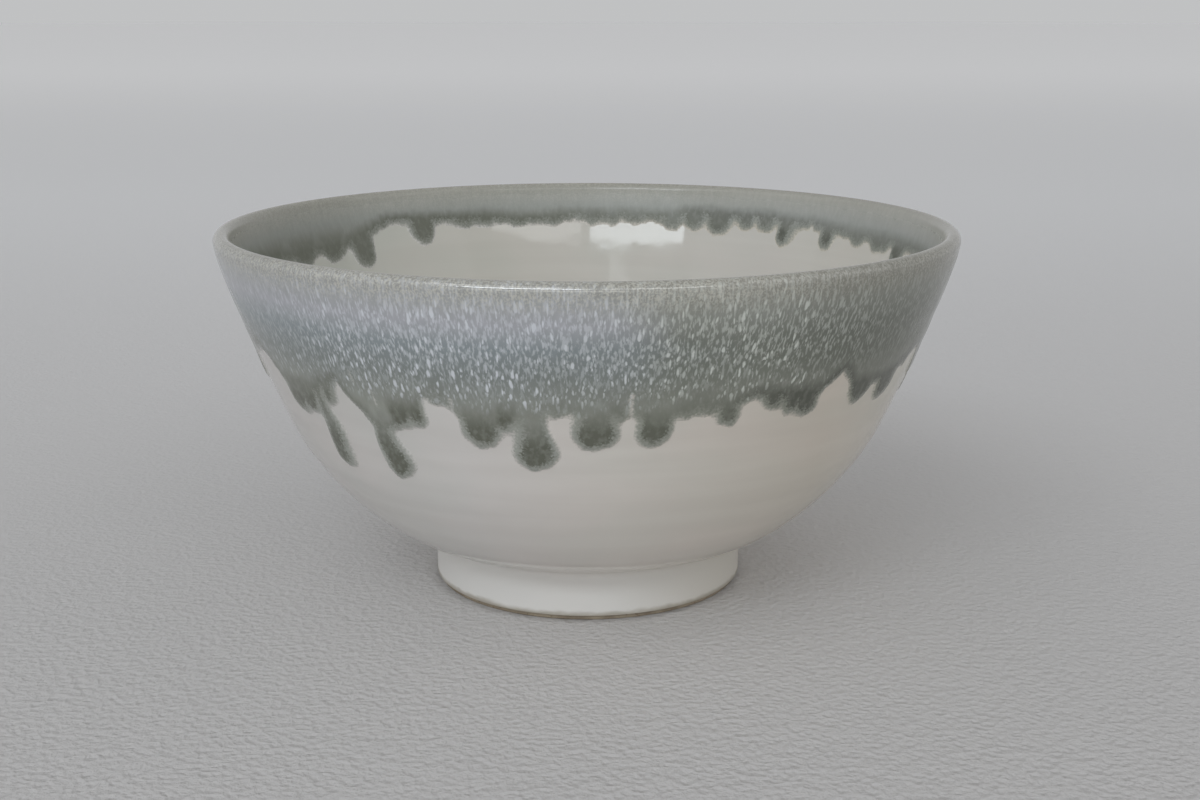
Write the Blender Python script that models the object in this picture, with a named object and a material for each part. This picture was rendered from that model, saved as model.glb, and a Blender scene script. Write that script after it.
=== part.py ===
"""Matcha bowl: thrown stoneware on a luted foot ring, white glazed, with a grey glaze run down from its rim.

Metres, +Z up. The origin is the centre of the foot's resting face, the bowl's axis is Z and its front faces
-Y. A section is drawn in millimetres as (radius, height) points and turned about Z. An azimuth is measured from
the front, and grows towards +X.
"""

import math
from bisect import bisect_left

import bmesh
import bpy
from mathutils import Vector

MM = 0.001

# Layers, in millimetres
WHITE_COAT = 0.3  # white glaze thickness
GREY_COAT = 0.4  # grey glaze thickness
GAP = 0.2  # clearance between one fired layer and the next

# Lip of the white-glazed wall: half a circle, leaning outwards with the wall
LIP_CENTRE = Vector((68.95, 68.45))
LIP_ROUND = 0.95
LIP_LEAN = 10

# Outside of the white-glazed wall, from the foot to the lip
FOOT_FACE_RADIUS = 30.2
CREASE_ROUND = 1.5
CREASE_CENTRE = Vector((FOOT_FACE_RADIUS + CREASE_ROUND, 8.4))
CREASE_SLOPE = 12
BELLY_OUTSIDE = Vector((57.7, 34.5))
BELLY_OUTSIDE_SLOPE = 66

# Inside of the white-glazed wall, from the axis to the lip
WELL_FLOOR = Vector((0.0, 15.0))
BELLY_INSIDE = Vector((54.5, 36.7))
BELLY_INSIDE_SLOPE = 62

# Foot ring and the recess under the bowl
UNDERSIDE = 9.8  # height of the clay bowl's flat base
BARE_EDGE = 1.0  # height of unglazed clay above the table
FOOT_EDGE_CHAMFER = 0.4
RECESS_RADIUS = 23.8
RECESS_DRAFT = 0.8  # how much wider the glazed recess is at the table
RECESS_ROUND = 2.0

# Where the grey glaze ends between its runs, as a height on the wall
OUTSIDE_BAND = 48.5
INSIDE_BAND = 62.0
FLANK = 3.0  # how steeply the side of a run drops, as height over width

# Runs of grey glaze: azimuth in degrees, height of the tip and half width in millimetres
OUTSIDE_RUNS = (
    (-75, 44.5, 4.0),
    (-55, 41.5, 3.0),
    (-51, 42.5, 2.6),
    (-46.5, 33.0, 3.6),
    (-43, 45.0, 1.8),
    (-37, 43.0, 2.2),
    (-33, 33.0, 3.6),
    (-29.5, 43.5, 2.0),
    (-26.5, 44.0, 2.0),
    (-16, 41.5, 3.4),
    (-12, 43.5, 1.8),
    (-8, 37.5, 3.4),
    (-4, 47.5, 1.8),
    (1, 41.5, 3.4),
    (4.5, 46.5, 1.8),
    (9.5, 41.5, 3.2),
    (16.5, 46.5, 3.0),
    (21, 44.5, 2.4),
    (28.5, 47.0, 2.6),
    (32, 45.5, 2.8),
    (35, 44.5, 4.0),
    (47.5, 45.0, 4.2),
    (55, 44.0, 3.4),
    (61, 49.0, 3.0),
    (72, 45.0, 3.6),
    (80, 39.5, 3.2),
    (87, 46.5, 2.6),
    (96, 43.5, 3.8),
    (104, 36.0, 3.4),
    (111, 46.0, 2.8),
    (121, 42.5, 3.6),
    (127, 44.5, 2.4),
    (137, 39.0, 3.2),
    (146, 45.5, 3.6),
    (155, 43.0, 3.0),
    (160, 35.0, 3.4),
    (169, 46.5, 2.8),
    (178, 42.0, 3.6),
    (186, 45.5, 2.6),
    (195, 38.0, 3.4),
    (203, 44.0, 3.2),
    (214, 46.5, 3.6),
    (222, 41.0, 3.0),
    (230, 34.5, 3.4),
    (237, 45.5, 2.6),
    (247, 43.0, 3.8),
    (256, 39.5, 3.2),
    (264, 46.0, 3.0),
    (274, 42.0, 3.6),
)
INSIDE_RUNS = (
    (-2, 58.0, 3.4),
    (12, 60.5, 4.0),
    (25, 56.5, 2.8),
    (37, 60.0, 3.6),
    (52, 58.5, 3.0),
    (65, 60.5, 4.2),
    (79, 57.0, 2.8),
    (93, 60.0, 3.8),
    (105, 59.0, 2.8),
    (113, 60.5, 4.0),
    (121, 60.5, 3.6),
    (127.5, 59.0, 2.4),
    (137.5, 58.0, 2.4),
    (146, 61.0, 4.0),
    (153.5, 58.0, 3.6),
    (161, 60.5, 4.6),
    (176, 61.0, 4.6),
    (187, 61.0, 2.6),
    (194, 61.0, 3.0),
    (203, 61.0, 3.6),
    (214.5, 58.0, 3.2),
    (229.5, 55.0, 2.8),
    (238, 57.0, 4.0),
    (250, 58.5, 5.0),
    (264, 60.0, 3.8),
    (277, 57.5, 3.0),
    (290, 60.5, 4.0),
    (303, 59.0, 2.8),
    (316, 60.0, 3.8),
    (330, 56.0, 2.8),
    (343, 60.5, 3.6),
)

# Facets
SEGMENTS = 60
GREY_STATIONS = 3 * SEGMENTS
WALL_STEPS = 4  # on each of a wall's two curves
CREASE_STEPS = 3
LIP_STEPS = 4
GREY_OUTSIDE_ROWS = 4
GREY_INSIDE_ROWS = 2
CREASE_INDEX = 1 + CREASE_STEPS  # where the white skin's crease ends
LIP_INDEX = CREASE_INDEX + 2 * WALL_STEPS + LIP_STEPS // 2  # top of the white skin's lip


def heading(degrees, length=1.0):
    """A vector of this length in the section plane, turned this far from the radial direction towards up."""
    angle = math.radians(degrees)
    return Vector((math.cos(angle), math.sin(angle))) * length


def bezier(start, start_handle, end_handle, end, steps):
    """Points along a cubic curve, both ends included."""
    points = []
    for i in range(steps + 1):
        t = i / steps
        s = 1 - t
        points.append(
            s**3 * start + 3 * s * s * t * start_handle + 3 * s * t * t * end_handle + t**3 * end
        )
    return points


def arc(centre, radius, start, end, steps):
    """Points round a circle from one heading to another, both ends included."""
    return [centre + heading(start + (end - start) * i / steps, radius) for i in range(steps + 1)]


def offset(line, distance):
    """The line moved sideways, to the left of its direction for a positive distance."""
    moved = []
    for i, point in enumerate(line):
        before = line[max(i - 1, 0)]
        after = line[min(i + 1, len(line) - 1)]
        along = (after - before).normalized()
        moved.append(point + Vector((-along.y, along.x)) * distance)
    return moved


def outside_wall():
    """The white-glazed outside, from the crease above the foot up to the lip."""
    start = CREASE_CENTRE + heading(90 + CREASE_SLOPE, CREASE_ROUND)
    end = LIP_CENTRE + heading(-LIP_LEAN, LIP_ROUND)
    lower = bezier(
        start,
        start + heading(CREASE_SLOPE, 11),
        BELLY_OUTSIDE - heading(BELLY_OUTSIDE_SLOPE, 10.5),
        BELLY_OUTSIDE,
        WALL_STEPS,
    )
    upper = bezier(
        BELLY_OUTSIDE,
        BELLY_OUTSIDE + heading(BELLY_OUTSIDE_SLOPE, 7.5),
        end - heading(90 - LIP_LEAN, 10),
        end,
        WALL_STEPS,
    )
    return lower + upper[1:]


def lip():
    """The round of the white-glazed lip, from the outside over the top to the inside."""
    return arc(LIP_CENTRE, LIP_ROUND, -LIP_LEAN, 180 - LIP_LEAN, LIP_STEPS)


def inside_wall():
    """The white-glazed inside, from the lip down to the middle of the well."""
    start = LIP_CENTRE + heading(180 - LIP_LEAN, LIP_ROUND)
    upper = bezier(
        start,
        start - heading(90 - LIP_LEAN, 6),
        BELLY_INSIDE + heading(BELLY_INSIDE_SLOPE, 9),
        BELLY_INSIDE,
        WALL_STEPS,
    )
    lower = bezier(
        BELLY_INSIDE,
        BELLY_INSIDE - heading(BELLY_INSIDE_SLOPE, 14),
        WELL_FLOOR + Vector((40.0, 0.0)),
        WELL_FLOOR,
        WALL_STEPS,
    )
    return upper + lower[1:]


def white_skin():
    """The whole white-glazed face, from the foot's bare edge up, over the lip and down to the well."""
    foot = [Vector((FOOT_FACE_RADIUS, BARE_EDGE))]
    crease = arc(CREASE_CENTRE, CREASE_ROUND, 180, 90 + CREASE_SLOPE, CREASE_STEPS)
    return foot + crease + outside_wall()[1:] + lip()[1:] + inside_wall()[1:]


def under_skin(depth):
    """The line this far under the white-glazed face, ending on the bowl's axis."""
    line = offset(white_skin(), depth)
    line[-1].x = 0.0
    return line


def clay_bowl_section():
    """The clay inside both coats: flat base, outside wall, lip and inside wall."""
    depth = WHITE_COAT + GAP
    base_edge = Vector((FOOT_FACE_RADIUS - depth, UNDERSIDE))
    wall = under_skin(depth)[CREASE_INDEX:]
    return [Vector((0.0, UNDERSIDE)), base_edge] + wall


def foot_ring_section():
    """The clay ring under the bowl, with its two resting edges chamfered."""
    depth = WHITE_COAT + GAP
    outer = FOOT_FACE_RADIUS - depth
    inner_top = RECESS_RADIUS + depth
    inner_foot = inner_top + RECESS_DRAFT
    top = UNDERSIDE - GAP
    return [
        Vector((inner_top, top)),
        Vector((inner_foot, FOOT_EDGE_CHAMFER)),
        Vector((inner_foot + FOOT_EDGE_CHAMFER, 0.0)),
        Vector((outer - FOOT_EDGE_CHAMFER, 0.0)),
        Vector((outer, FOOT_EDGE_CHAMFER)),
        Vector((outer, top)),
    ]


def outer_white_section():
    """From the foot's bare edge up round the crease and the wall to the top of the lip."""
    face = white_skin()[: LIP_INDEX + 1]
    back = under_skin(WHITE_COAT)[: LIP_INDEX + 1]
    return face + back[::-1]


def inner_white_section():
    """From beside the top of the lip down the inside to the middle of the well."""
    face = white_skin()[LIP_INDEX:]
    back = under_skin(WHITE_COAT)[LIP_INDEX:]
    for line in (face, back):
        line[0] = line[0].lerp(line[1], GAP / (line[1] - line[0]).length)
    return face + back[::-1]


def recess_white_section():
    """From the middle of the underside out to the ring, and down inside the ring to its bare edge."""
    ceiling = UNDERSIDE - WHITE_COAT - GAP
    corner = Vector((RECESS_RADIUS - RECESS_ROUND, ceiling - RECESS_ROUND))
    face = [
        Vector((0.0, ceiling)),
        *arc(corner, RECESS_ROUND, 90, 0, CREASE_STEPS),
        Vector((RECESS_RADIUS + RECESS_DRAFT, BARE_EDGE)),
    ]
    back = offset(face, WHITE_COAT)
    back[0].x = 0.0
    return face + back[::-1]


def add_object(name, mesh_builder, material):
    """Turns a bmesh into a smooth-shaded object with sharp edges kept."""
    mesh = bpy.data.meshes.new(name)
    bmesh.ops.recalc_face_normals(mesh_builder, faces=mesh_builder.faces)
    mesh_builder.to_mesh(mesh)
    mesh_builder.free()
    mesh.shade_smooth()
    mesh.set_sharp_from_angle(angle=math.radians(40))
    mesh.materials.append(material)
    thing = bpy.data.objects.new(name, mesh)
    bpy.context.scene.collection.objects.link(thing)
    return thing


def turned(name, section, material):
    """A closed section spun about the bowl's axis."""
    shape = bmesh.new()
    loop = [shape.verts.new((p.x * MM, 0.0, p.y * MM)) for p in section]
    on_axis = [p.x == 0.0 for p in section]
    edges = []
    for i, vertex in enumerate(loop):
        following = (i + 1) % len(loop)
        if not (on_axis[i] and on_axis[following]):
            edges.append(shape.edges.new((vertex, loop[following])))
    bmesh.ops.spin(
        shape,
        geom=loop + edges,
        axis=(0, 0, 1),
        cent=(0, 0, 0),
        angle=2 * math.pi,
        steps=SEGMENTS,
        use_merge=True,
    )
    bmesh.ops.remove_doubles(shape, verts=shape.verts, dist=1e-7)
    return add_object(name, shape, material)


def glaze_edge(azimuth, runs, band):
    """The height at which the grey glaze ends at this azimuth: the band, or the lowest run across it."""
    lowest = band
    for centre, tip, half_width in runs:
        turn = (azimuth - centre + 180) % 360 - 180
        across = abs(math.radians(turn)) * LIP_CENTRE.x
        if across < half_width:
            height = tip + half_width - math.sqrt(half_width**2 - across**2)
        else:
            height = tip + half_width + (across - half_width) * FLANK
        lowest = min(lowest, height)
    return lowest


def cut_at(line, height):
    """The part of a falling line above this height, resampled by its own length."""
    last = next(i for i, p in enumerate(line) if p.y < height)
    share = (line[last - 1].y - height) / (line[last - 1].y - line[last].y)
    return line[:last] + [line[last - 1].lerp(line[last], share)]


def resampled(line, rows):
    """The same line as evenly spaced points, one more than rows."""
    lengths = [0.0]
    for before, after in zip(line, line[1:]):
        lengths.append(lengths[-1] + (after - before).length)
    points = []
    for i in range(rows + 1):
        wanted = lengths[-1] * i / rows
        j = min(max(bisect_left(lengths, wanted), 1), len(line) - 1)
        share = (wanted - lengths[j - 1]) / (lengths[j] - lengths[j - 1])
        points.append(line[j - 1].lerp(line[j], share))
    return points


def grey_section(azimuth):
    """The grey coat at one azimuth: from its outside edge over the lip to its inside edge, and back."""
    outside = cut_at(outside_wall()[::-1], glaze_edge(azimuth, OUTSIDE_RUNS, OUTSIDE_BAND))
    inside = cut_at(inside_wall(), glaze_edge(azimuth, INSIDE_RUNS, INSIDE_BAND))
    skin = (
        resampled(outside, GREY_OUTSIDE_ROWS)[::-1]
        + lip()[1:-1]
        + resampled(inside, GREY_INSIDE_ROWS)
    )
    face = offset(skin, -(GAP + GREY_COAT))
    back = offset(skin, -GAP)
    return face + back[::-1]


def grey_coat(name, material):
    """The grey rim glaze: its section changes with azimuth, because its edges follow the runs."""
    shape = bmesh.new()
    rings = []
    for i in range(GREY_STATIONS):
        azimuth = 360 * i / GREY_STATIONS
        turn = math.radians(azimuth)
        side = Vector((math.sin(turn), -math.cos(turn), 0.0))
        ring = []
        for point in grey_section(azimuth):
            ring.append(shape.verts.new(side * (point.x * MM) + Vector((0.0, 0.0, point.y * MM))))
        rings.append(ring)
    for i, ring in enumerate(rings):
        following = rings[(i + 1) % GREY_STATIONS]
        for j in range(len(ring)):
            k = (j + 1) % len(ring)
            shape.faces.new((ring[j], ring[k], following[k], following[j]))
    return add_object(name, shape, material)


def material(name, colour, roughness):
    """An opaque, non-metallic finish."""
    made = bpy.data.materials.new(name)
    made.use_nodes = True
    shader = made.node_tree.nodes["Principled BSDF"]
    shader.inputs["Base Color"].default_value = (*colour, 1.0)
    shader.inputs["Roughness"].default_value = roughness
    shader.inputs["Metallic"].default_value = 0.0
    return made


def clear_scene():
    for thing in list(bpy.data.objects):
        bpy.data.objects.remove(thing, do_unlink=True)


def build():
    clear_scene()
    stoneware = material("stoneware", (0.46, 0.36, 0.27), 0.85)
    white_glaze = material("white_glaze", (0.72, 0.70, 0.66), 0.15)
    grey_glaze = material("grey_glaze", (0.30, 0.32, 0.31), 0.22)
    turned("clay_bowl", clay_bowl_section(), stoneware)
    turned("foot_ring", foot_ring_section(), stoneware)
    turned("outer_white_glaze", outer_white_section(), white_glaze)
    turned("inner_white_glaze", inner_white_section(), white_glaze)
    turned("recess_white_glaze", recess_white_section(), white_glaze)
    grey_coat("grey_rim_glaze", grey_glaze)


build()
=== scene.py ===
"""The looks of the matcha bowl: fine clay and glaze on the CAD frame, on a pale floor in soft window light.

Lengths in the section and in the glaze runs are in millimetres. An azimuth is measured in degrees from the
bowl's front, -Y, and grows towards +X.
"""

import math

import bpy
import numpy as np

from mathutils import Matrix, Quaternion, Vector

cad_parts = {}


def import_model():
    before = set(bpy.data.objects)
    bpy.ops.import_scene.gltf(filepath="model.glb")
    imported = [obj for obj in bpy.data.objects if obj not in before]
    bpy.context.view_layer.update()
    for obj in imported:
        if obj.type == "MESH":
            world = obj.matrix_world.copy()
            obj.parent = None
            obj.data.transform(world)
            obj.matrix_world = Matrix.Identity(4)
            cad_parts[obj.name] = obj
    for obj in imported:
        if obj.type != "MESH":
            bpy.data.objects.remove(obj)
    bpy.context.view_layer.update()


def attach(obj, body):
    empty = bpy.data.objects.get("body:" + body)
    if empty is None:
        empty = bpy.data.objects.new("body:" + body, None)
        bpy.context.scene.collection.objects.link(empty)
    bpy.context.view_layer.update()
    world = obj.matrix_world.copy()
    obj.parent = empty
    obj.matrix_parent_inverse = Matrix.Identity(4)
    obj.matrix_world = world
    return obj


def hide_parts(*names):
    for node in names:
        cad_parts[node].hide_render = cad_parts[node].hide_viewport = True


MM = 0.001

# The white-glazed skin's section, as in the CAD
LIP_CENTRE = np.array((68.95, 68.45))
LIP_ROUND = 0.95
LIP_LEAN = 10
FOOT_FACE_RADIUS = 30.2
CREASE_ROUND = 1.5
CREASE_CENTRE = np.array((FOOT_FACE_RADIUS + CREASE_ROUND, 8.4))
CREASE_SLOPE = 12
BELLY_OUTSIDE = np.array((57.7, 34.5))
BELLY_OUTSIDE_SLOPE = 66
WELL_FLOOR = np.array((0.0, 15.0))
BELLY_INSIDE = np.array((54.5, 36.7))
BELLY_INSIDE_SLOPE = 62
BARE_EDGE = 1.0
UNDERSIDE = 9.3
RECESS_RADIUS = 23.8
RECESS_DRAFT = 0.8
RECESS_ROUND = 2.0
RING_OUTER = 29.7
RING_INNER = 24.3
RING_TOP = 9.6
RING_EDGE_ROUND = 0.4
WHITE_COAT = 0.3
CLAY_DEPTH = 0.5  # how far the clay lies under the white skin
CLAY_BASE = 9.8
AXIS = 0.01  # radius that stands for the axis, so that a turned mesh keeps its quads

# The grey glaze over the white skin
GREY_RISE = 0.6  # how far it stands proud at the lip
GREY_RISE_BELOW = 0.18  # and lower down
GREY_RUN_BULGE = 0.3  # how much more at the end of a long run
GREY_OUTSIDE_LOW = 31  # its mesh starts at this height outside
GREY_INSIDE_LOW = 53  # and at this one inside
OUTSIDE_RUN_TOP = 48.5  # height at which a run outside leaves the band
INSIDE_RUN_TOP = 62.5
FEATHER = 0.5  # width of the thin edge where the grey fades into the white
BLEND = 1.1  # how widely two runs flow into each other
GAP_BLEND = 0.5  # how softly a bare gap cuts in

# Runs of grey glaze: azimuth, height of the tip, half width of the bulb, half width of the neck above it
OUTSIDE_RUNS = (
    (-74, 44.0, 2.2, 2.4),
    (-54, 41.6, 3.2, 3.4),
    (-50, 42.2, 2.6, 3.0),
    (-46.5, 32.9, 2.1, 1.4),
    (-43.5, 45.0, 1.5, 1.6),
    (-33.2, 33.0, 2.8, 1.7),
    (-29.5, 43.2, 1.8, 2.6),
    (-26.3, 43.9, 1.9, 2.0),
    (-22, 48.5, 0.8, 1.0),
    (-15.8, 41.3, 3.7, 3.6),
    (-11.8, 44.2, 1.2, 1.8),
    (-8, 37.3, 3.1, 2.3),
    (-4.3, 47.2, 1.7, 1.9),
    (1, 41.3, 3.0, 2.7),
    (4.3, 46.6, 1.3, 1.6),
    (9.7, 41.7, 3.0, 2.7),
    (14.5, 46.6, 1.7, 2.0),
    (17.7, 46.8, 1.7, 2.0),
    (21.2, 44.6, 2.2, 2.2),
    (28.3, 46.8, 1.8, 2.2),
    (31.8, 45.6, 2.2, 2.6),
    (35.2, 44.6, 3.0, 3.4),
    (47.5, 44.8, 3.3, 3.8),
    (55.3, 44.0, 2.6, 3.2),
    (61, 48.8, 2.2, 2.4),
    (72, 45.0, 3.0, 3.4),
    (80, 39.5, 3.0, 2.3),
    (87, 46.5, 2.2, 2.4),
    (96, 43.5, 3.2, 3.4),
    (104, 36.0, 3.2, 2.4),
    (111, 46.0, 2.4, 2.6),
    (121, 42.5, 3.1, 3.2),
    (127, 44.5, 2.0, 2.2),
    (137, 39.0, 3.1, 2.4),
    (146, 45.5, 3.0, 3.2),
    (155, 43.0, 2.8, 2.8),
    (160, 35.0, 3.1, 2.3),
    (169, 46.5, 2.4, 2.6),
    (178, 42.0, 3.2, 3.0),
    (186, 45.5, 2.2, 2.4),
    (195, 38.0, 3.1, 2.3),
    (203, 44.0, 2.8, 3.0),
    (214, 46.5, 3.0, 3.2),
    (222, 41.0, 2.8, 2.5),
    (230, 34.5, 3.1, 2.3),
    (237, 45.5, 2.2, 2.4),
    (247, 43.0, 3.2, 3.4),
    (256, 39.5, 3.0, 2.3),
    (264, 46.0, 2.6, 2.8),
    (274, 42.0, 3.1, 3.2),
)
INSIDE_RUNS = (
    (-2, 58.0, 3.0, 2.6),
    (12, 60.5, 3.6, 3.6),
    (25, 56.5, 2.6, 2.2),
    (37, 60.0, 3.2, 3.2),
    (52, 58.5, 2.8, 2.6),
    (65, 60.5, 3.8, 3.8),
    (79, 57.0, 2.6, 2.2),
    (93, 60.0, 3.4, 3.4),
    (105, 59.0, 2.6, 2.6),
    (112, 60.5, 3.0, 3.0),
    (119, 60.8, 3.0, 3.0),
    (127.5, 59.0, 1.9, 2.0),
    (137.5, 58.6, 1.9, 2.2),
    (142.5, 61.0, 2.0, 2.0),
    (147, 61.0, 2.4, 2.6),
    (153, 59.5, 3.2, 4.0),
    (158, 60.4, 2.4, 2.6),
    (162.5, 60.3, 2.4, 2.6),
    (171, 61.2, 2.0, 2.2),
    (175, 61.0, 2.0, 2.2),
    (179, 61.0, 2.0, 2.2),
    (187, 60.8, 2.2, 2.4),
    (194, 61.1, 2.2, 2.4),
    (201, 61.2, 2.0, 2.2),
    (205, 61.2, 2.4, 2.6),
    (214.5, 58.2, 2.8, 2.8),
    (229.5, 55.0, 2.5, 3.0),
    (237, 57.2, 3.6, 5.0),
    (246, 57.5, 5.0, 6.0),
    (256, 58.5, 4.0, 5.0),
    (266, 60.0, 3.6, 3.8),
    (277, 57.5, 2.8, 2.6),
    (290, 60.5, 3.6, 3.6),
    (303, 59.0, 2.8, 2.6),
    (316, 60.0, 3.4, 3.4),
    (330, 56.0, 2.8, 2.4),
    (343, 60.5, 3.2, 3.2),
)

# Bare gaps in the grey glaze: azimuth, lower and upper height, half width
OUTSIDE_GAPS = (
    (-62.5, 40.0, 49.5, 2.6),
    (-41.2, 42.0, 48.6, 0.9),
    (-36.5, 50.0, 52.6, 0.35),
    (-34, 46.4, 49.6, 0.35),
    (-23.6, 44.0, 49.6, 0.9),
    (-20.4, 46.0, 50.0, 0.35),
    (6, 44.0, 51.5, 0.4),
    (25.4, 44.0, 47.6, 0.8),
    (41.5, 44.0, 50.8, 1.2),
    (52, 43.0, 46.4, 0.5),
    (66, 44.0, 50.6, 1.6),
    (91, 43.0, 50.4, 1.0),
    (115, 42.0, 50.6, 1.2),
    (150.5, 42.0, 50.2, 0.6),
    (208, 42.0, 50.6, 1.0),
    (242, 42.0, 50.4, 0.9),
    (269, 42.0, 50.8, 1.2),
)
INSIDE_GAPS = (
    (132, 56.0, 63.4, 0.9),
    (166.5, 58.0, 61.8, 0.7),
    (183, 58.0, 62.4, 0.7),
    (209.5, 58.0, 61.8, 0.9),
    (222, 55.0, 60.4, 2.8),
)

# The grey glaze's edge between its runs: azimuth and height
OUTSIDE_BAND = (
    (-83, 48.0),
    (-70, 49.0),
    (-63, 51.5),
    (-57, 46.5),
    (-48, 46.0),
    (-41, 49.5),
    (-38, 45.0),
    (-35, 42.5),
    (-31, 43.0),
    (-29, 44.5),
    (-26, 46.0),
    (-22.5, 50.0),
    (-19, 46.0),
    (-12, 45.0),
    (-5, 48.0),
    (1, 46.5),
    (5.5, 48.0),
    (10, 46.5),
    (16, 48.0),
    (21, 47.5),
    (25.5, 49.0),
    (30, 48.0),
    (38, 48.0),
    (41.5, 52.0),
    (45, 48.0),
    (52, 47.5),
    (58, 48.0),
    (66, 51.0),
    (78, 46.5),
    (91, 50.5),
    (103, 46.0),
    (115, 50.5),
    (124, 47.0),
    (137, 46.0),
    (150, 49.5),
    (160, 46.0),
    (170, 49.0),
    (182, 47.0),
    (195, 46.0),
    (208, 50.5),
    (220, 47.0),
    (232, 46.0),
    (242, 50.5),
    (254, 46.5),
    (268, 50.5),
)
INSIDE_BAND = (
    (0, 62.0),
    (123, 62.0),
    (133, 63.0),
    (180, 61.8),
    (206, 61.8),
    (222, 63.2),
    (234, 59.0),
    (250, 58.5),
    (262, 61.5),
)
# How strongly the glaze pools along the band's edge: azimuth and share
OUTSIDE_STRIP = (
    (-70, 0.8),
    (-50, 0.7),
    (-38, 0.6),
    (-28, 0.55),
    (-24, 0.3),
    (10, 0.25),
    (20, 0.6),
    (27, 0.9),
    (34, 1.0),
    (60, 0.9),
    (150, 0.6),
    (210, 0.8),
)
INSIDE_STRIP = ((50, 0.8), (120, 0.4), (150, 0.7), (180, 1.0), (210, 1.0), (250, 0.9), (320, 0.8))

# Colours of the white glaze as they look on screen, changing from left to right as painted shade: share of
# the way from side -60 to side 60, and colour
WHITE_OUTSIDE = (
    (0.05, (171, 168, 165)),
    (0.33, (178, 175, 172)),
    (0.54, (181, 176, 170)),
    (0.83, (172, 165, 155)),
    (1.0, (176, 172, 163)),
)
# Inside, the painted shade darkens the left side most
WHITE_INSIDE = (
    (0.05, (158, 157, 150)),
    (0.33, (164, 161, 154)),
    (0.54, (168, 165, 159)),
    (0.83, (167, 163, 158)),
    (1.0, (168, 165, 158)),
)

# Colours of the grey glaze between its strokes as they look on screen: height and colour
OLIVE_GROUND = (
    (38, (128, 130, 123)),
    (44, (126, 128, 120)),
    (47, (118, 120, 111)),
    (50, (111, 113, 105)),
    (55, (98, 101, 93)),
    (60, (100, 103, 96)),
    (64, (120, 122, 116)),
    (68, (126, 125, 118)),
    (70, (118, 115, 107)),
)
BLUE_GROUND = (
    (38, (131, 133, 127)),
    (44, (129, 131, 125)),
    (47, (124, 126, 119)),
    (50, (119, 122, 117)),
    (54, (109, 114, 112)),
    (59, (119, 126, 129)),
    (63, (145, 146, 151)),
    (67, (138, 139, 139)),
    (70, (123, 121, 115)),
)
INSIDE_GROUND = (
    (54, (104, 106, 98)),
    (62, (110, 112, 105)),
    (65, (124, 126, 122)),
    (68, (133, 133, 127)),
    (70, (130, 128, 120)),
)

# Lights: azimuth and elevation from the bowl, distance, width and height in metres, radiance, colour, roll
DAYLIGHT = (0.95, 0.98, 1.0)
LIGHTS = (
    ("window_left_pane", -29.8, 33.3, 1.5, (0.47, 0.225), 6.0, (0.88, 0.95, 1.0), 4.9),
    ("window_right_pane", -10.1, 34.5, 1.5, (0.375, 0.225), 5.8, (0.88, 0.94, 1.0), 0.0),
    ("side_window", 21.3, 33.5, 1.5, (0.82, 0.225), 2.0, DAYLIGHT, -6.4),
    ("high_window", -33, 50, 1.6, (1.0, 0.5), 1.1, DAYLIGHT, 0.0),
    ("left_wall", -75, 35, 1.9, (1.6, 1.2), 0.26, (1, 1, 1), 0.0),
    ("right_wall", 80, 35, 1.9, (1.6, 1.2), 0.3, (1, 1, 1), 0.0),
    ("front_fill", -12, 12, 1.6, (1.4, 0.4), 0.8, (1, 1, 1), 0.0),
)
ROOM_AT_HORIZON = 0.54
ROOM_OVERHEAD = 0.41
EXPOSURE = 0.57  # how bright a white surface looks in this light, on a linear scale

# Camera: lens in millimetres, place in metres, degrees that it looks down and turns to its right
LENS = 49.5
CAMERA_PLACE = (0, -0.3168, 0.1118)
CAMERA_DOWN = 13.68
CAMERA_RIGHT = 0.44

# Fineness of the meshes: spacing along the section, and points round it
SPACING = 0.5
LIP_SPACING = 0.2
STATIONS = 900
WHITE_STATIONS = 360
CLAY_STATIONS = 180

# How strongly the throwing rings show
RINGS_OUTSIDE = 1.0
RINGS_INSIDE = 0.1
RINGS_RECESS = 0.0


def heading(degrees, length=1.0):
    """A vector in the section, turned this far from the radial direction towards up."""
    angle = math.radians(degrees)
    return np.array((math.cos(angle), math.sin(angle))) * length


def bezier(start, start_handle, end_handle, end, steps=200):
    """Points along a cubic curve."""
    t = np.linspace(0, 1, steps)[:, None]
    s = 1 - t
    return s**3 * start + 3 * s * s * t * start_handle + 3 * s * t * t * end_handle + t**3 * end


def arc(centre, radius, start, end, steps=40):
    """Points round a circle from one heading to another."""
    angles = np.radians(np.linspace(start, end, steps))
    return centre + radius * np.stack((np.cos(angles), np.sin(angles)), axis=1)


def outside_wall():
    """The white skin from the crease above the foot up to the lip."""
    start = CREASE_CENTRE + heading(90 + CREASE_SLOPE, CREASE_ROUND)
    end = LIP_CENTRE + heading(-LIP_LEAN, LIP_ROUND)
    slope = heading(BELLY_OUTSIDE_SLOPE)
    lower = bezier(start, start + heading(CREASE_SLOPE, 11), BELLY_OUTSIDE - slope * 10.5, BELLY_OUTSIDE)
    upper = bezier(BELLY_OUTSIDE, BELLY_OUTSIDE + slope * 7.5, end - heading(90 - LIP_LEAN, 10), end)
    return np.concatenate((lower, upper[1:]))


def lip():
    """The round of the lip, from the outside over the top to the inside."""
    return arc(LIP_CENTRE, LIP_ROUND, -LIP_LEAN, 180 - LIP_LEAN)


def inside_wall():
    """The white skin from the lip down to the middle of the well."""
    start = LIP_CENTRE + heading(180 - LIP_LEAN, LIP_ROUND)
    slope = heading(BELLY_INSIDE_SLOPE)
    upper = bezier(start, start - heading(90 - LIP_LEAN, 6), BELLY_INSIDE + slope * 9, BELLY_INSIDE)
    lower = bezier(BELLY_INSIDE, BELLY_INSIDE - slope * 14, WELL_FLOOR + (40.0, 0.0), WELL_FLOOR)
    return np.concatenate((upper, lower[1:]))


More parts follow.
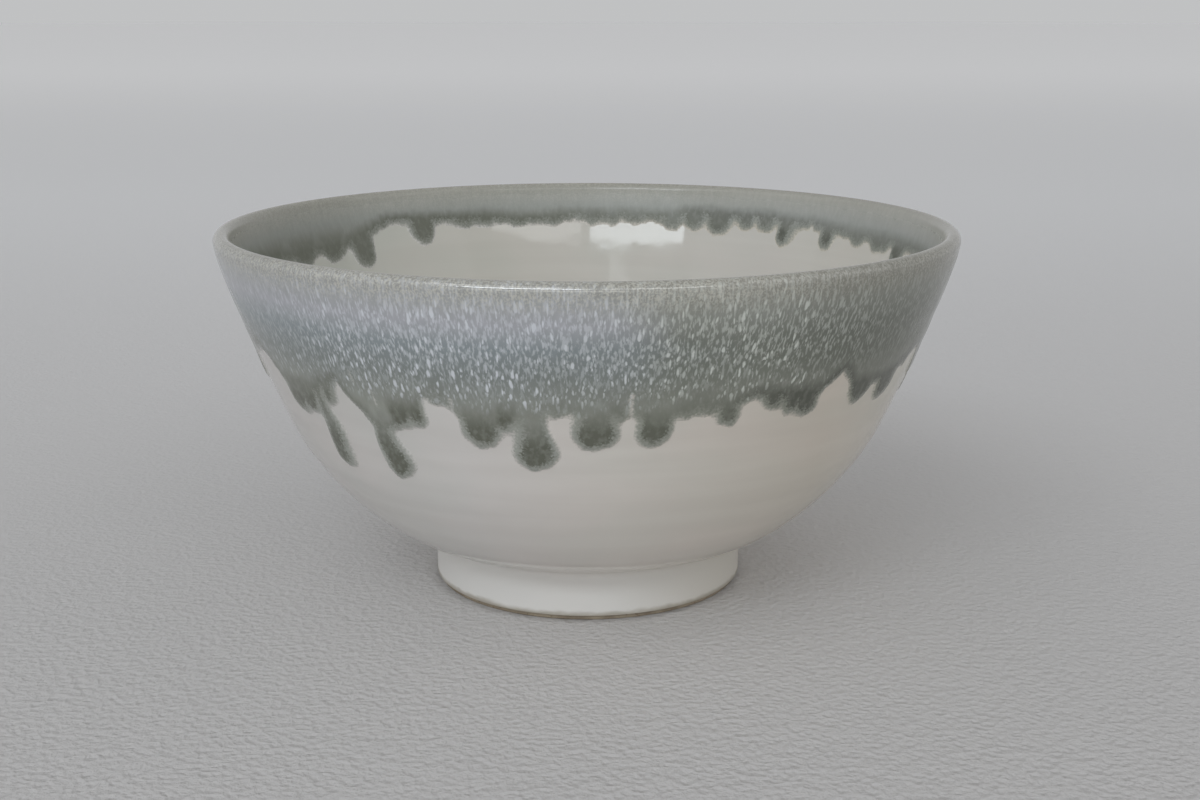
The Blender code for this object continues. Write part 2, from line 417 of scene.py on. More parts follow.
def evenly(line, spacing):
    """The line as points about this far apart."""
    steps = np.linalg.norm(np.diff(line, axis=0), axis=1)
    lengths = np.concatenate(((0.0,), np.cumsum(steps)))
    wanted = np.linspace(0, lengths[-1], max(2, round(lengths[-1] / spacing) + 1))
    return np.stack([np.interp(wanted, lengths, line[:, i]) for i in (0, 1)], axis=1)


def outward(line):
    """The unit normal at each point, on the right of the line's direction, which is away from the clay."""
    along = np.gradient(line, axis=0)
    along /= np.linalg.norm(along, axis=1)[:, None]
    return np.stack((along[:, 1], -along[:, 0]), axis=1)


def around(section, azimuths):
    """Points of a section, of shape (rows, 2) or (rows, stations, 2), turned to each azimuth."""
    if section.ndim == 2:
        section = np.repeat(section[:, None], len(azimuths), axis=1)
    turn = np.radians(azimuths)[None]
    radius = section[..., 0]
    return np.stack((radius * np.sin(turn), -radius * np.cos(turn), section[..., 1]), axis=-1)


def waves(points, wavelength, seed, count=14):
    """Smooth repeatable noise of about unit size, from sine waves in many directions."""
    dice = np.random.default_rng(seed)
    directions = dice.normal(size=(count, 3))
    directions /= np.linalg.norm(directions, axis=1)[:, None]
    rates = 2 * math.pi / wavelength * dice.uniform(0.7, 1.4, count)
    phases = dice.uniform(0, 2 * math.pi, count)
    total = np.zeros(points.shape[:-1])
    for direction, rate, phase in zip(directions, rates, phases):
        total += np.sin(points @ direction * rate + phase)
    return total * math.sqrt(2 / count)


def throwing_rings(points):
    """The faint rings that the potter's fingers leave, which wander a little on their way round."""
    wander = 0.8 * waves(points, 60, 3)
    height = points[..., 2] + wander
    rings = 0.5 * np.sin(height * 2 * math.pi / 4.6) + 0.5 * np.sin(height * 2 * math.pi / 7.3 + 1.0)
    fade = np.clip((points[..., 2] - 10) / 8, 0, 1) * np.clip((66 - points[..., 2]) / 12, 0, 1)
    return 0.03 * rings * fade + 0.04 * waves(points, 38, 4) * fade


def lifted(line, azimuths, rise, rings=1.0):
    """The section turned round, each point moved out along its normal by rise and by the throwing rings."""
    normals = outward(line)
    plain = around(line, azimuths)
    height = throwing_rings(plain) * rings + rise
    section = line[:, None] + normals[:, None] * height[..., None]
    return around(section, azimuths)


def add_piece(name, points, faces, material, node):
    """A mesh of these points and faces that stands for a CAD node."""
    mesh = bpy.data.meshes.new(name)
    mesh.from_pydata((points.reshape(-1, 3) * MM).tolist(), [], faces.tolist())
    mesh.validate()
    mesh.materials.append(material)
    piece = bpy.data.objects.new(name, mesh)
    bpy.context.scene.collection.objects.link(piece)
    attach(piece, "root")
    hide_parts(node)
    return piece


def finish_normals(piece, sharp=50):
    """Smooth shading, apart from edges that turn by more than this many degrees."""
    piece.data.shade_smooth()
    piece.data.set_sharp_from_angle(angle=math.radians(sharp))


def grid_faces(rows, columns, close_rows=False):
    """Quads of a grid that closes round its columns, and round its rows too if wanted."""
    index = np.arange(rows * columns).reshape(rows, columns)
    right = np.roll(index, -1, axis=1)
    if close_rows:
        down, down_right = np.roll(index, -1, axis=0), np.roll(right, -1, axis=0)
    else:
        index, down = index[:-1], index[1:]
        right, down_right = right[:-1], right[1:]
    return np.stack((index, right, down_right, down), axis=-1).reshape(-1, 4)


def white_coat(name, line, rings, material, node):
    """A closed coat: a fine face along the line, and a coarser back one coat deeper."""
    azimuths = np.linspace(0, 360, WHITE_STATIONS, endpoint=False)
    face = lifted(line, azimuths, 0.0, rings)
    back_line = (line - outward(line) * WHITE_COAT)[::-6]
    back_line[:, 0] = np.maximum(back_line[:, 0], 0.0)
    points = np.concatenate((face, around(back_line, azimuths)))
    faces = grid_faces(len(points), WHITE_STATIONS, close_rows=True)
    finish_normals(add_piece(name, points, faces, material, node))


def smooth_max(a, b, width):
    """The greater of the two, rounded where they are within this width of each other."""
    mix = np.clip(0.5 + 0.5 * (a - b) / width, 0, 1)
    return b + (a - b) * mix + width * mix * (1 - mix)


def inside_of_run(azimuths, heights, radii, run, top):
    """How deep each point is inside one run: a round bulb on a neck that comes down from the band."""
    centre, tip, bulb, neck = run
    turn = (azimuths - centre + 180) % 360 - 180
    across = np.radians(turn) * radii
    low = tip + bulb
    share = np.clip((top - heights) / (top - low), 0, 1)
    width = neck + (bulb - neck) * share**2
    return width - np.hypot(across, heights - (top + (low - top) * share))


def pooled(inside, heights, run, run_top):
    """How thickly the glaze has gathered in one run, from 1 at its end to 0 where it leaves the band."""
    tip = run[1]
    length = 2.5 + 0.6 * max(run_top - tip, 0)
    share = np.clip((1.15 * length - (heights - tip)) / (0.65 * length), 0, 1)
    return share * np.clip((inside + 0.4) / 1.2, 0, 1) * np.clip((run_top - tip) / 4, 0, 1)


def inside_of_gap(azimuths, heights, radii, gap):
    """How deep each point is inside one bare gap, an upright slot with round ends."""
    centre, low, high, width = gap
    turn = (azimuths - centre + 180) % 360 - 180
    across = np.radians(turn) * radii
    return width - np.hypot(across, heights - np.clip(heights, low + width, high - width))


def outline(points, azimuths, runs, gaps, band, strip, run_top):
    """How far each point lies inside the grey glaze, negative outside it, and how thickly it pools there."""
    heights = points[..., 2] + 0.12 * waves(points, 2.6, 11)
    radii = np.hypot(points[..., 0], points[..., 1])
    turned = azimuths + np.degrees(0.35 * waves(points, 9, 13) / radii)
    edge = np.interp(turned, *zip(*band), period=360)
    depth = heights - edge - 0.25 * waves(points, 22, 15)
    dark = np.interp(azimuths, *zip(*strip), period=360) * np.clip((3.0 - depth) / 2.0, 0, 1)
    for run in runs:
        top = max(run[1] + run[2] + 4, run_top)
        inside = inside_of_run(turned, heights, radii, run, top)
        dark = np.maximum(dark, pooled(inside, heights, run, run_top))
        depth = smooth_max(depth, inside, BLEND)
    for gap in gaps:
        depth = -smooth_max(-depth, inside_of_gap(turned, heights, radii, gap), GAP_BLEND)
    return depth + FEATHER, dark


def grey_rise(heights, depth):
    """How far the grey glaze stands proud of the white skin, rounded off towards its edge."""
    at_lip = np.clip((heights - 56) / 10, 0, 1)
    in_run = np.clip((50 - heights) / 8, 0, 1)
    full = GREY_RISE_BELOW + (GREY_RISE - GREY_RISE_BELOW) * at_lip + GREY_RUN_BULGE * in_run
    edge = np.clip(depth / 2.2, 0, 1)
    rise = full * np.sqrt(1 - (1 - edge) ** 2)
    return np.where(depth < 0, np.maximum(depth, -0.8) * 0.12, rise)


def grey_glaze(material):
    """The grey glaze from the ends of its outside runs over the lip to the ends of its inside runs."""
    outside = evenly(outside_wall(), SPACING)
    outside = outside[outside[:, 1] > GREY_OUTSIDE_LOW]
    over = evenly(lip(), LIP_SPACING)
    inside = evenly(inside_wall(), SPACING)
    inside = inside[inside[:, 1] > GREY_INSIDE_LOW]
    line = np.concatenate((outside, over[1:-1], inside))
    rows = np.arange(len(line))
    split = len(outside) + len(over) // 2
    azimuths = np.linspace(0, 360, STATIONS, endpoint=False)
    plain = around(line, azimuths)
    grid = np.repeat(azimuths[None], len(line), axis=0)
    out = outline(
        plain[:split], grid[:split], OUTSIDE_RUNS, OUTSIDE_GAPS, OUTSIDE_BAND, OUTSIDE_STRIP, OUTSIDE_RUN_TOP
    )
    within = outline(
        plain[split:], grid[split:], INSIDE_RUNS, INSIDE_GAPS, INSIDE_BAND, INSIDE_STRIP, INSIDE_RUN_TOP
    )
    depth, dark = (np.concatenate(pair) for pair in zip(out, within))
    rings = np.where(rows < split, RINGS_OUTSIDE, RINGS_INSIDE)[:, None]
    points = lifted(line, azimuths, grey_rise(plain[..., 2], depth), rings)
    faces = grid_faces(*grid.shape)
    kept = depth.reshape(-1)[faces].max(axis=1) > -0.5
    used, renumbered = np.unique(faces[kept], return_inverse=True)
    faces = renumbered.reshape(-1, 4)
    points = points.reshape(-1, 3)[used]
    piece = add_piece("grey_glaze_runs", points, faces, material, "grey_rim_glaze")
    outer = np.clip((split + 4 - rows) / 8, 0, 1)[:, None] + np.zeros(grid.shape)
    for attribute, values in (("depth", depth), ("outer", outer), ("pooled", dark)):
        made = piece.data.attributes.new(attribute, "FLOAT", "POINT")
        made.data.foreach_set("value", values.reshape(-1)[used].astype(np.float32))
    finish_normals(piece, 80)


def white_outside(material):
    """From the foot's bare edge up its face, round the crease and up the wall to the top of the lip."""
    foot_face = evenly(np.array(((FOOT_FACE_RADIUS, BARE_EDGE), (FOOT_FACE_RADIUS, CREASE_CENTRE[1]))), 0.5)
    crease = arc(CREASE_CENTRE, CREASE_ROUND, 180, 90 + CREASE_SLOPE, 8)
    wall = evenly(outside_wall(), 0.6)
    top = evenly(lip(), LIP_SPACING)
    line = np.concatenate((foot_face, crease[1:], wall[1:], top[1 : len(top) // 2]))
    white_coat("white_glaze_outside", line, RINGS_OUTSIDE, material, "outer_white_glaze")


def white_inside(material):
    """From the top of the lip down the wall to the middle of the well."""
    top = evenly(lip(), LIP_SPACING)
    wall = evenly(inside_wall(), 0.7)
    line = np.concatenate((top[len(top) // 2 + 1 :], wall[1:]))
    line[-1, 0] = AXIS
    white_coat("white_glaze_inside", line, RINGS_INSIDE, material, "inner_white_glaze")


def white_recess(material):
    """From the middle of the underside out to the foot ring, and down inside it to its bare edge."""
    ceiling = evenly(np.array(((AXIS, UNDERSIDE), (RECESS_RADIUS - RECESS_ROUND, UNDERSIDE))), 0.7)
    corner = np.array((RECESS_RADIUS - RECESS_ROUND, UNDERSIDE - RECESS_ROUND))
    bend = arc(corner, RECESS_ROUND, 90, 0, 10)
    wall = np.array((bend[-1], (RECESS_RADIUS + RECESS_DRAFT, BARE_EDGE)))
    line = np.concatenate((ceiling, bend[1:], evenly(wall, 0.5)[1:]))
    white_coat("white_glaze_recess", line, RINGS_RECESS, material, "recess_white_glaze")


def turned_clay(name, line, stations, material, node):
    """A closed section of clay turned round the axis."""
    azimuths = np.linspace(0, 360, stations, endpoint=False)
    faces = grid_faces(len(line), stations, close_rows=True)
    finish_normals(add_piece(name, around(line, azimuths), faces, material, node), 60)


def clay_body(material):
    """The bowl's clay, under the white skin all over, with a flat base."""
    base = evenly(np.array(((AXIS, CLAY_BASE), (FOOT_FACE_RADIUS - CLAY_DEPTH, CLAY_BASE))), 3.0)
    skin = np.concatenate((evenly(outside_wall(), 1.2), evenly(lip(), 0.3)[1:-1], evenly(inside_wall(), 1.2)))
    skin -= outward(skin) * CLAY_DEPTH
    skin[-1, 0] = AXIS
    turned_clay("bowl_clay", np.concatenate((base, skin)), CLAY_STATIONS, material, "clay_bowl")


def foot_ring(material):
    """The clay ring, its resting edges worn a little round."""
    inner = RING_INNER + RECESS_DRAFT
    edge = RING_EDGE_ROUND
    parts = (
        np.array(((RING_INNER, RING_TOP), (inner, edge))),
        arc(np.array((inner + edge, edge)), edge, 180, 270, 8),
        arc(np.array((RING_OUTER - edge, edge)), edge, 270, 360, 8),
        np.array(((RING_OUTER, edge + 0.1), (RING_OUTER, RING_TOP))),
    )
    turned_clay("foot_ring_clay", np.concatenate(parts), WHITE_STATIONS, material, "foot_ring")


class Shader:
    """One material's nodes, with short calls for the sums that they do."""

    def __init__(self, name):
        """A new material, with its point's height, side and front in millimetres at hand."""
        self.material = bpy.data.materials.new(name)
        self.material.use_nodes = True
        self.tree = self.material.node_tree
        self.surface = self.tree.nodes["Principled BSDF"]
        self.place = self.add("ShaderNodeTexCoord").outputs["Object"]
        parts = self.add("ShaderNodeSeparateXYZ", {0: self.place})
        self.height = self.sum("MULTIPLY", parts.outputs["Z"], 1000)
        self.side = self.sum("MULTIPLY", parts.outputs["X"], 1000)
        self.front = self.sum("MULTIPLY", parts.outputs["Y"], -1000)

    def add(self, kind, inputs=None, **settings):
        """A new node, its inputs linked from sockets or set to values."""
        made = self.tree.nodes.new(kind)
        for key, value in settings.items():
            setattr(made, key, value)
        for key, value in (inputs or {}).items():
            if isinstance(value, bpy.types.NodeSocket):
                self.tree.links.new(value, made.inputs[key])
            else:
                made.inputs[key].default_value = value
        return made

    def sum(self, operation, *values):
        return self.add("ShaderNodeMath", dict(enumerate(values)), operation=operation).outputs[0]

    def step(self, value, low, high, to_low=0.0, to_high=1.0):
        """A smooth step from to_low to to_high while value goes from low to high."""
        inputs = {0: value, 1: low, 2: high, 3: to_low, 4: to_high}
        return self.add("ShaderNodeMapRange", inputs, interpolation_type="SMOOTHSTEP").outputs[0]

    def mix(self, share, first, second, blend="MIX"):
        """The first colour at a share of 0 and the second at 1, or the two multiplied."""
        made = self.add("ShaderNodeMix", data_type="RGBA", blend_type=blend)
        for socket, value in zip((made.inputs[0], made.inputs[6], made.inputs[7]), (share, first, second)):
            if isinstance(value, bpy.types.NodeSocket):
                self.tree.links.new(value, socket)
            else:
                socket.default_value = value
        return made.outputs[2]

    def stretched(self, across, along):
        """Coordinates in which a grain of this size, in millimetres, is one unit."""
        scale = (1000 / across, 1000 / across, 1000 / along)
        return self.add("ShaderNodeMapping", {0: self.place, 3: scale}).outputs[0]

    def noise(self, across, along=None, detail=2.0, offset=0.0):
        """Smooth noise with a grain of this size, from 0 to 1, another pattern for each offset."""
        where = self.stretched(across, along or across)
        if offset:
            where = self.add("ShaderNodeVectorMath", {0: where, 1: (offset, offset, offset)}).outputs[0]
        return self.add("ShaderNodeTexNoise", {"Vector": where, "Scale": 1.0, "Detail": detail}).outputs[0]

    def ramp(self, value, stops):
        """A colour by a value from 0 to 1: stops are (position, colour)."""
        made = self.add("ShaderNodeValToRGB", {0: value})
        elements = made.color_ramp.elements
        while len(elements) < len(stops):
            elements.new(0.5)
        for element, (position, colour) in zip(elements, stops):
            element.position = position
            element.color = colour
        return made.outputs[0]

    def bump(self, value, distance, strength=1.0, below=None):
        inputs = {"Height": value, "Distance": distance, "Strength": strength}
        if below:
            inputs["Normal"] = below
        return self.add("ShaderNodeBump", inputs).outputs[0]

    def finish(self, colour, roughness, normal):
        """The material, its surface given these."""
        pairs = {"Base Color": colour, "Roughness": roughness, "Normal": normal}
        for key, value in pairs.items():
            if isinstance(value, bpy.types.NodeSocket):
                self.tree.links.new(value, self.surface.inputs[key])
            else:
                self.surface.inputs[key].default_value = value
        return self.material


def paint(red, green, blue):
    """A surface colour from how it looks on screen in this scene's light, in 0 to 255."""
    looks = np.array((red, green, blue)) / 255
    linear = np.where(looks > 0.04045, ((looks + 0.055) / 1.055) ** 2.4, looks / 12.92)
    return (*(linear / EXPOSURE).tolist(), 1.0)


def white_colour(shader, shades):
    """Off-white glaze whose colour changes from left to right as painted shade, with faint clouds and rings a
    shade apart.
    """
    across = shader.add("ShaderNodeMapRange", {0: shader.side, 1: -60.0, 2: 60.0}).outputs[0]
    # painted shade: the colour by side follows how the light falls from the left
    colour = shader.ramp(across, [(place, paint(*shade)) for place, shade in shades])
    clouds = shader.step(shader.noise(22, 14, 1.5), 0.35, 0.65)
    colour = shader.mix(clouds, colour, shader.mix(1.0, colour, (0.965, 0.985, 0.98, 1), "MULTIPLY"))
    rings = shader.step(shader.noise(60, 2.6, 2.0, 7.0), 0.35, 0.65)
    return shader.mix(rings, colour, shader.mix(1.0, colour, (0.975, 0.972, 0.97, 1), "MULTIPLY"))


def white_material(name, shades, ripples, dull):
    """The white glaze, whiter on the foot with painted shade on the foot's right, dull in the crease, and
    thin and brown at its bare edge.
    """
    shader = Shader(name)
    colour = white_colour(shader, shades)
    on_foot = shader.step(shader.height, 8.0, 10.5, 0.8, 0.0)
    # painted shade: the foot's glaze darkens towards its right
    foot_colour_with_shade = shader.mix(shader.step(shader.side, 2, 28), paint(187, 186, 183), paint(176, 173, 166))
    colour = shader.mix(on_foot, colour, foot_colour_with_shade)
    thin = shader.sum("MULTIPLY_ADD", shader.noise(4, 2), -1.2, shader.height)
    colour = shader.mix(shader.step(thin, 0.5, 1.5, 0.8, 0.0), colour, paint(132, 126, 114))
    ripple = shader.sum("MULTIPLY", shader.noise(9, 5, 1.0, 3.0), shader.step(shader.height, 11, 20))
    ripple = shader.bump(ripple, 0.0004, ripples)
    roughness = shader.step(shader.noise(6, 6, 2.0, 5.0), 0.3, 0.7, 0.07 * dull, 0.12 * dull)
    crease = shader.step(shader.height, 10, 15, 0.5, 0.0)
    return shader.finish(colour, shader.sum("ADD", roughness, crease), ripple)


def heights_ramp(shader, stops):
    """A colour by height in millimetres."""
    share = shader.add("ShaderNodeMapRange", {0: shader.height, 1: 30.0, 2: 70.0}).outputs[0]
    return shader.ramp(share, [((height - 30) / 40, paint(*colour)) for height, colour in stops])


def darkened(shader, colour, share):
    """The colour times this share in red, green and blue."""
    return shader.mix(1.0, colour, (*share, 1), "MULTIPLY")


def outside_ground(shader, blueness):
    """The grey between the strokes outside, olive or bluish, with painted shade darkening it on the right."""
    olive = heights_ramp(shader, OLIVE_GROUND)
    blue = heights_ramp(shader, BLUE_GROUND)
    ground = shader.mix(blueness, olive, blue)
    # painted shade: the ground darkens on the right, away from the light
    return shader.mix(shader.step(shader.side, 24, 44), ground, darkened(shader, ground, (0.8, 0.8, 0.78)))


def inside_ground(shader):
    """The grey inside, darker on the left as painted shade and paler on the right as painted light."""
    ground = heights_ramp(shader, INSIDE_GROUND)
    # painted shade on the inside's left
    painted_shade_left = darkened(shader, ground, (0.88, 0.88, 0.87))
    ground = shader.mix(shader.step(shader.side, -62, -40, 1.0, 0.0), ground, painted_shade_left)
    # painted light on the inside's right
    paler = darkened(shader, ground, (1.15, 1.15, 1.18))
    return shader.mix(shader.step(shader.side, 15, 45), ground, paler)


def hanging_strokes(shader, across, along, seed, density):
    """Pale strokes scattered over the glaze, each a small head with a thin tail above it."""
    where = shader.stretched(across, along)
    shake = shader.add("ShaderNodeTexNoise", {"Vector": where, "Scale": 1.1}).outputs[1]
    shake = shader.add("ShaderNodeVectorMath", {0: shake, 1: (seed, seed, seed)}, operation="ADD").outputs[0]
    reach = (0.8, 0.8, 0.35)
    shake = shader.add("ShaderNodeVectorMath", {0: shake, 1: reach}, operation="MULTIPLY").outputs[0]
    where = shader.add("ShaderNodeVectorMath", {0: where, 1: shake}).outputs[0]
    cells = shader.add("ShaderNodeTexVoronoi", {"Vector": where, "Scale": 1.0})
    inputs = {0: where, 1: cells.outputs["Position"]}
    away = shader.add("ShaderNodeVectorMath", inputs, operation="SUBTRACT").outputs[0]
    above = shader.add("ShaderNodeSeparateXYZ", {0: away}).outputs["Z"]
    flat = shader.add("ShaderNodeVectorMath", {0: away, 1: (1, 1, 0)}, operation="MULTIPLY").outputs[0]
    beside = shader.add("ShaderNodeVectorMath", {0: flat}, operation="LENGTH").outputs["Value"]
    chance = shader.add("ShaderNodeSeparateColor", {0: cells.outputs["Color"]}).outputs
    width = shader.sum("MULTIPLY_ADD", chance[0], 0.22, 0.16)
    head = shader.step(above, -0.4, -0.22)
    tail = shader.step(above, -0.22, 0.75, 1.0, 0.14)
    width = shader.sum("MULTIPLY", width, shader.sum("MULTIPLY", head, tail))
    ragged = shader.sum("MULTIPLY_ADD", shader.noise(0.4, 1.2, 2.0, 9.0), 0.3, -0.15)
    excess = shader.sum("SUBTRACT", shader.sum("ADD", beside, ragged), width)
    strokes = shader.step(excess, -0.14, 0.09, 1.0, 0.0)
    present = shader.step(shader.sum("ADD", chance[1], density), 1.0, 1.35)
    return shader.sum("MULTIPLY", strokes, present)


def strokes_of(shader):
    """Strokes of two sizes over fine streaks in the outside's middle band, fewer on its right."""
    density = shader.step(shader.side, 14, 48, 1.0, 0.25)
    large = hanging_strokes(shader, 0.95, 7.6, 0.0, density)
    small = hanging_strokes(shader, 0.72, 4.2, 7.0, density)
    fine = shader.step(shader.noise(0.45, 4.5, 2.0), 0.46, 0.66, 0.0, 0.55)
    fine = shader.sum("MULTIPLY", fine, shader.step(shader.height, 50, 59, 0.3, 1.0))
    both = shader.sum("MAXIMUM", large, shader.sum("MULTIPLY", small, 0.65))
    wander = shader.sum("MULTIPLY_ADD", shader.noise(5, 5, 1.0, 2.0), 6.0, -3.0)
    height = shader.sum("ADD", shader.height, wander)
    low = shader.step(height, 46.5, 51.5)
    high = shader.step(height, 63, 69, 1.0, 0.55)
    return shader.sum("MULTIPLY", shader.sum("MAXIMUM", fine, both), shader.sum("MULTIPLY", low, high))


def blueness_of(shader):
    """How bluish the glaze is: fully at the front's left, in patches that thin out towards its right."""
    patches = shader.sum("MULTIPLY_ADD", shader.noise(18, 14), 36.0, -18.0)
    reach = shader.sum("ADD", shader.side, patches)
    facing = shader.step(shader.front, -10, 20)
    return shader.sum("MULTIPLY", shader.step(reach, -14, 24, 1.0, 0.0), facing)


def with_strokes(shader, colour, strokes, blueness):
    """Dark mottling, then the pale strokes, which fade at the far left and right."""
    mottle = shader.step(shader.noise(1.0, 3.6, 3.0), 0.3, 0.7, 0.0, 0.3)
    colour = shader.mix(mottle, colour, darkened(shader, colour, (0.74, 0.76, 0.73)))
    pale = shader.mix(blueness, paint(174, 177, 171), paint(182, 185, 190))
    return shader.mix(shader.sum("MULTIPLY", strokes, 0.85), colour, pale)


def with_lip_specks(shader, colour, outer):
    """Fine pale specks at the lip, fewer inside and on the right."""
    speck = shader.step(shader.noise(0.34, 0.4, 2.0, 4.0), 0.46, 0.6)
    at_lip = shader.step(shader.height, 64, 68, 0.0, 0.5)
    at_lip = shader.sum("MULTIPLY", at_lip, shader.sum("MULTIPLY_ADD", outer, 0.7, 0.3))
    at_lip = shader.sum("MULTIPLY", at_lip, shader.step(shader.side, 10, 45, 1.0, 0.5))
    return shader.mix(shader.sum("MULTIPLY", speck, at_lip), colour, paint(170, 168, 158))


def with_pools(shader, colour, depth, dark):
    """Dark glaze gathered in the runs, darker on the right as painted shade, and the ragged edge where the
    grey thins out over the white.
    """
    grain = shader.noise(0.42, 0.42, 2.0, 2.0)
    shaken = shader.sum("ADD", depth, shader.sum("MULTIPLY_ADD", grain, 2.6, -1.3))
    core = shader.step(shaken, 0.7, 1.7)
    clouds = shader.step(shader.noise(0.9, 1.4, 2.0, 5.0), 0.3, 0.6, 0.7, 1.0)
    # painted shade: the pools' dark colour deepens on the right
    deep = shader.mix(shader.step(shader.side, 16, 36), paint(80, 82, 72), paint(66, 68, 60))
    dark = shader.sum("MULTIPLY", dark, clouds)
    colour = shader.mix(shader.sum("MULTIPLY", core, dark), colour, deep)
    soft = shader.sum("ADD", depth, shader.sum("MULTIPLY_ADD", grain, 1.2, -0.6))
    fade = shader.step(soft, -0.35, 0.75, 1.0, 0.0)
    return shader.mix(fade, colour, white_colour(shader, WHITE_OUTSIDE))


def grey_material():
    """The grey glaze: its ground, strokes, specks and pools, glossiest on the lip and duller inside."""
    shader = Shader("grey_glaze")
    depth, outer, dark = (
        shader.add("ShaderNodeAttribute", attribute_name=name).outputs["Fac"]
        for name in ("depth", "outer", "pooled")
    )
    blueness = blueness_of(shader)
    colour = shader.mix(outer, inside_ground(shader), outside_ground(shader, blueness))
    strokes = shader.sum("MULTIPLY", strokes_of(shader), shader.sum("MULTIPLY_ADD", outer, 0.9, 0.1))
    edges = shader.step(shader.sum("ABSOLUTE", shader.side), 34, 58, 1.0, 0.4)
    strokes = shader.sum("MULTIPLY", strokes, edges)
    colour = with_strokes(shader, colour, strokes, blueness)
    colour = with_lip_specks(shader, colour, outer)
    colour = with_pools(shader, colour, depth, dark)

    normal = shader.bump(strokes, 0.00005, 0.4)
    normal = shader.bump(shader.noise(8, 6, 1.0, 3.0), 0.0004, 0.3, normal)
    smooth = shader.step(shader.height, 66.5, 68.5)
    roughness = shader.step(shader.noise(3, 5, 2.0, 6.0), 0.3, 0.7, 0.1, 0.2)
    roughness = shader.sum("MULTIPLY", roughness, shader.sum("MULTIPLY_ADD", smooth, -0.75, 1.0))
    roughness = shader.sum("ADD", roughness, shader.step(outer, 0.0, 0.5, 0.2, 0.0))
    shader.surface.inputs["IOR"].default_value = 1.6
    gloss = shader.step(shader.height, 67.5, 69.0, 0.0, 0.5)
    gloss = shader.sum("MULTIPLY_ADD", gloss, shader.step(shader.front, -40, 0), 0.5)
    shader.tree.links.new(gloss, shader.surface.inputs["Specular IOR Level"])
    return shader.finish(colour, roughness, normal)


def clay_material():
    """Matt brown clay with faint clouds, dark specks and a fine grain."""
    shader = Shader("stoneware")
    clouds = shader.step(shader.noise(5, 5, 3.0), 0.3, 0.7)
    colour = shader.mix(clouds, paint(134, 124, 108), paint(112, 102, 88))
    specks = shader.step(shader.noise(0.5, 0.5, 1.0, 8.0), 0.62, 0.7)
    colour = shader.mix(shader.sum("MULTIPLY", specks, 0.6), colour, paint(84, 70, 56))
    normal = shader.bump(shader.noise(0.6, 0.6, 3.0, 1.0), 0.0002, 0.6)
    return shader.finish(colour, 0.85, normal)


def floor_material():
    """Pale and plain with a fine grain, painted darker near the front and paler behind the bowl as painted
    light, and made to emit light far off, though it is no lamp.
    """
    shader = Shader("pale_floor")
    shader.surface.inputs["Specular IOR Level"].default_value = 0.2
    # painted light: darker near the front, paler behind the bowl
    far = shader.step(shader.front, -700, 250, 1.0, 0.0)
    colour = shader.mix(far, paint(159, 157, 156), paint(189, 189, 190))
    # painted light: the far floor behind and in front emits light, though it is no lamp
    behind = shader.step(shader.front, -2500, -100, 0.15, 0.0)
    painted_emission = shader.sum("ADD", behind, shader.step(shader.front, 500, 1700, 0.0, 0.16))
    shader.surface.inputs["Emission Color"].default_value = (1, 1, 1, 1)
    shader.tree.links.new(painted_emission, shader.surface.inputs["Emission Strength"])
    pebbles = shader.add("ShaderNodeTexVoronoi", {"Vector": shader.stretched(1.5, 1.5), "Scale": 1.0})
    grain = shader.sum("MULTIPLY_ADD", shader.noise(1.1, 1.1, 2.0), 1.4, pebbles.outputs["Distance"])
    grain = shader.sum("MULTIPLY", grain, shader.step(shader.front, -60, 110, 0.3, 1.0))
    normal = shader.bump(grain, 0.0005, 0.8)
    return shader.finish(colour, 0.7, normal)


def floor():
    """A wide flat pale floor."""
    line = np.array(((0.01, 0.0), (100.0, 0.0), (400.0, 0.0), (1500.0, 0.0), (8000.0, 0.0)))
    azimuths = np.linspace(0, 360, 96, endpoint=False)
    points = around(line, azimuths)
    mesh = bpy.data.meshes.new("floor")
    mesh.from_pydata((points.reshape(-1, 3) * MM).tolist(), [], grid_faces(len(points), 96).tolist())
    mesh.materials.append(floor_material())
    mesh.shade_smooth()
    thing = bpy.data.objects.new("floor", mesh)
    bpy.context.scene.collection.objects.link(thing)


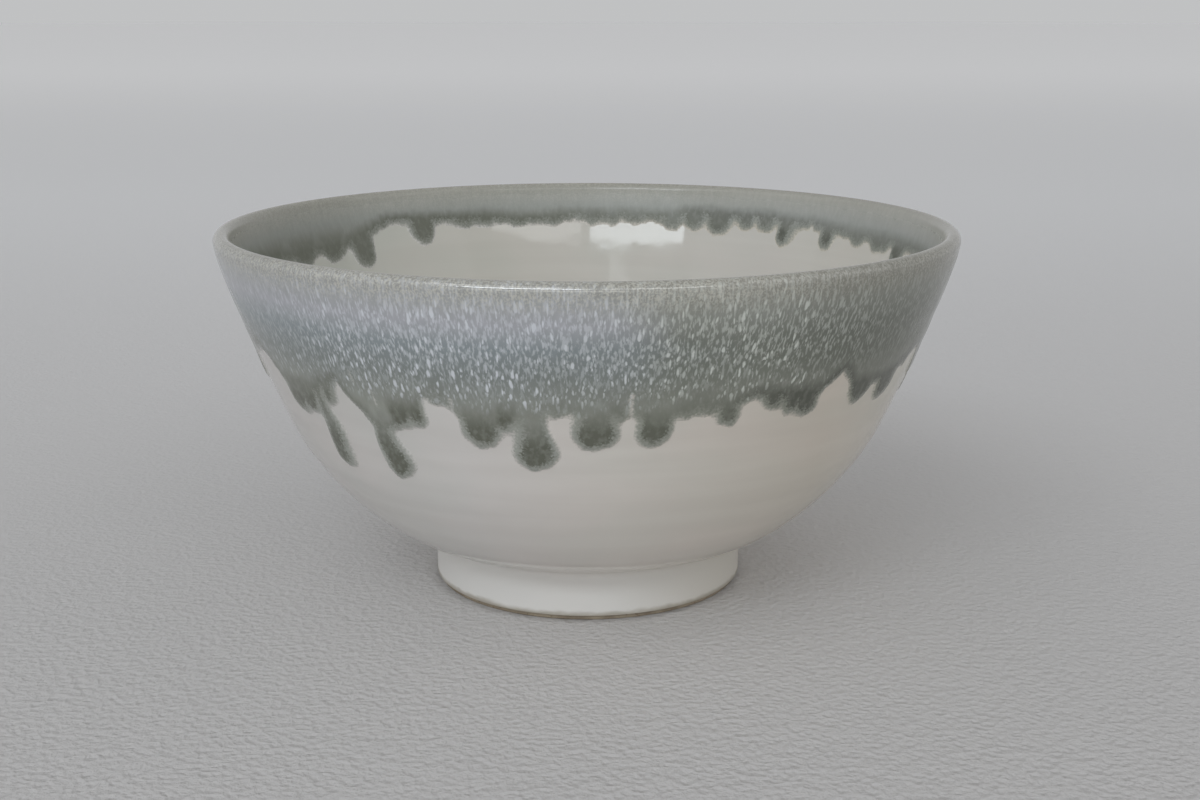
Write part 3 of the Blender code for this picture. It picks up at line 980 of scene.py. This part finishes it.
def area_light(name, azimuth, elevation, distance, size, radiance, colour, roll):
    """A rectangle of soft light, seen from the bowl in this direction and facing it."""
    data = bpy.data.lights.new(name, "AREA")
    data.shape = "RECTANGLE"
    data.size, data.size_y = size
    data.energy = radiance * math.pi * size[0] * size[1]
    data.color = colour
    turn, lift = math.radians(azimuth), math.radians(elevation)
    away = Vector((math.sin(turn) * math.cos(lift), -math.cos(turn) * math.cos(lift), math.sin(lift)))
    lamp = bpy.data.objects.new(name, data)
    lamp.location = away * distance + Vector((0, 0, 0.05))
    facing = away.to_track_quat("Z", "Y") @ Quaternion((0, 0, 1), math.radians(roll))
    lamp.rotation_euler = facing.to_euler()
    bpy.context.scene.collection.objects.link(lamp)


def world():
    """An even pale room, a little brighter near the horizon."""
    made = bpy.data.worlds.new("room")
    made.use_nodes = True
    tree = made.node_tree
    place = tree.nodes.new("ShaderNodeTexCoord")
    parts = tree.nodes.new("ShaderNodeSeparateXYZ")
    share = tree.nodes.new("ShaderNodeMapRange")
    share.inputs["From Min"].default_value = 0.0
    share.inputs["From Max"].default_value = 0.5
    share.inputs["To Min"].default_value = ROOM_AT_HORIZON
    share.inputs["To Max"].default_value = ROOM_OVERHEAD
    tree.links.new(place.outputs["Generated"], parts.inputs[0])
    tree.links.new(parts.outputs["Z"], share.inputs["Value"])
    tree.links.new(share.outputs[0], tree.nodes["Background"].inputs["Strength"])
    tree.nodes["Background"].inputs["Color"].default_value = (0.98, 0.99, 1.0, 1)
    bpy.context.scene.world = made


def camera():
    """A camera a little above the bowl, looking at its front."""
    data = bpy.data.cameras.new("camera")
    data.lens = LENS
    data.sensor_width = 36
    data.clip_start = 0.01
    data.clip_end = 50
    thing = bpy.data.objects.new("camera", data)
    thing.location = CAMERA_PLACE
    thing.rotation_euler = (math.radians(90 - CAMERA_DOWN), 0, math.radians(-CAMERA_RIGHT))
    bpy.context.scene.collection.objects.link(thing)
    bpy.context.scene.camera = thing


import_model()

clay = clay_material()
white = white_material("white_glaze", WHITE_OUTSIDE, 0.35, 1.0)
white_within = white_material("white_glaze_within", WHITE_INSIDE, 0.06, 0.5)
grey = grey_material()

clay_body(clay)
white_outside(white)
white_inside(white_within)
white_recess(white)
foot_ring(clay)
grey_glaze(grey)
floor()
world()
for light in LIGHTS:
    area_light(*light)
camera()
bpy.context.scene.view_settings.view_transform = "Standard"
